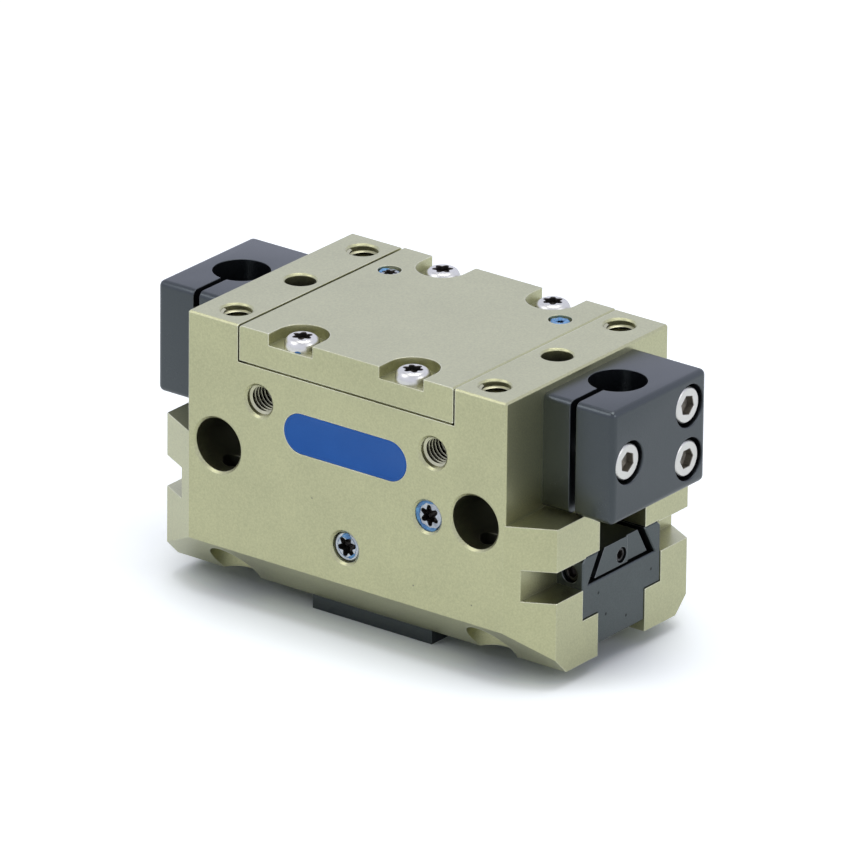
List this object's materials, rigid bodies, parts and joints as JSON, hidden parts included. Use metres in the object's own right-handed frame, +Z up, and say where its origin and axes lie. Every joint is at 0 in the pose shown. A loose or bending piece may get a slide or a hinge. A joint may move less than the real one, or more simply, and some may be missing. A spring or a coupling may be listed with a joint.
{
  "type": "parallel gripper",
  "caption": "Compact pneumatic parallel gripper with a wedge-hook drive, T-slot base jaws, a bolted cylinder cover and clamp brackets for round sensors.",
  "frame": {"origin": "middle of the base plate's underside, on which the gripper stands", "axes": "+X along the jaw travel, to the right seen from the ported front; +Y from front to back; +Z up, from the jaws to the mounting face"},
  "size_m": [0.0892, 0.042, 0.0477],
  "materials": {
    "olive_anodised": "hard anodised, satin, olive grey",
    "black_anodised": "black anodised, satin",
    "jaw_steel": "hardened steel, dark grey, ground",
    "bright_screw": "zinc plated",
    "dark_screw": "blackened steel",
    "sealed_plug": "bright steel, sealed with blue compound",
    "blue_plate": "blue, bare",
    "piston_metal": "turned",
    "rod_steel": "ground and hard chromed",
    "bush_bronze": "sintered bronze",
    "seal_rubber": "moulded",
    "ring_plastic": "moulded"
  },
  "bodies": {
    "gripper_body": {"housing": "olive_anodised", "cover_plate": "olive_anodised", "base_plate": "black_anodised", "name_plate": "blue_plate", "cover_screws": "bright_screw", "cover_plugs": "sealed_plug", "purge_plug": "sealed_plug", "channel_plug": "sealed_plug", "base_plate_screws": "dark_screw", "cover_seal": "seal_rubber", "rod_bush": "bush_bronze", "rod_seal": "seal_rubber", "sensor_bracket_right": "black_anodised", "bracket_screws_right": "bright_screw", "clamp_screw_right": "bright_screw", "sensor_bracket_left": "black_anodised", "bracket_screws_left": "bright_screw", "clamp_screw_left": "bright_screw"},
    "piston_drive": {"piston": "piston_metal", "piston_seal": "seal_rubber", "piston_guide_ring": "ring_plastic", "piston_rod": "rod_steel", "wedge_hook": "jaw_steel", "piston_bolt": "dark_screw"},
    "jaw_right": {"base_jaw_right": "jaw_steel", "switch_cam_right": "jaw_steel", "cam_screw_right": "dark_screw", "side_screws_right": "dark_screw"},
    "jaw_left": {"base_jaw_left": "jaw_steel", "switch_cam_left": "jaw_steel", "cam_screw_left": "dark_screw", "side_screws_left": "dark_screw"}
  },
  "joints": [
    {"name": "piston_stroke", "type": "slide", "parent": "gripper_body", "child": "piston_drive", "axis": [0, 0, 1], "range_m": [0, 0.008]},
    {"name": "jaw_right_slide", "type": "slide", "parent": "gripper_body", "child": "jaw_right", "axis": [-1, 0, 0], "range_m": [0, 0.006]},
    {"name": "jaw_left_slide", "type": "slide", "parent": "gripper_body", "child": "jaw_left", "axis": [1, 0, 0], "range_m": [0, 0.006]}
  ],
  "couplings": [
    {"joint": "jaw_right_slide", "follows": "piston_stroke", "ratio": 0.75},
    {"joint": "jaw_left_slide", "follows": "piston_stroke", "ratio": 0.75}
  ]
}
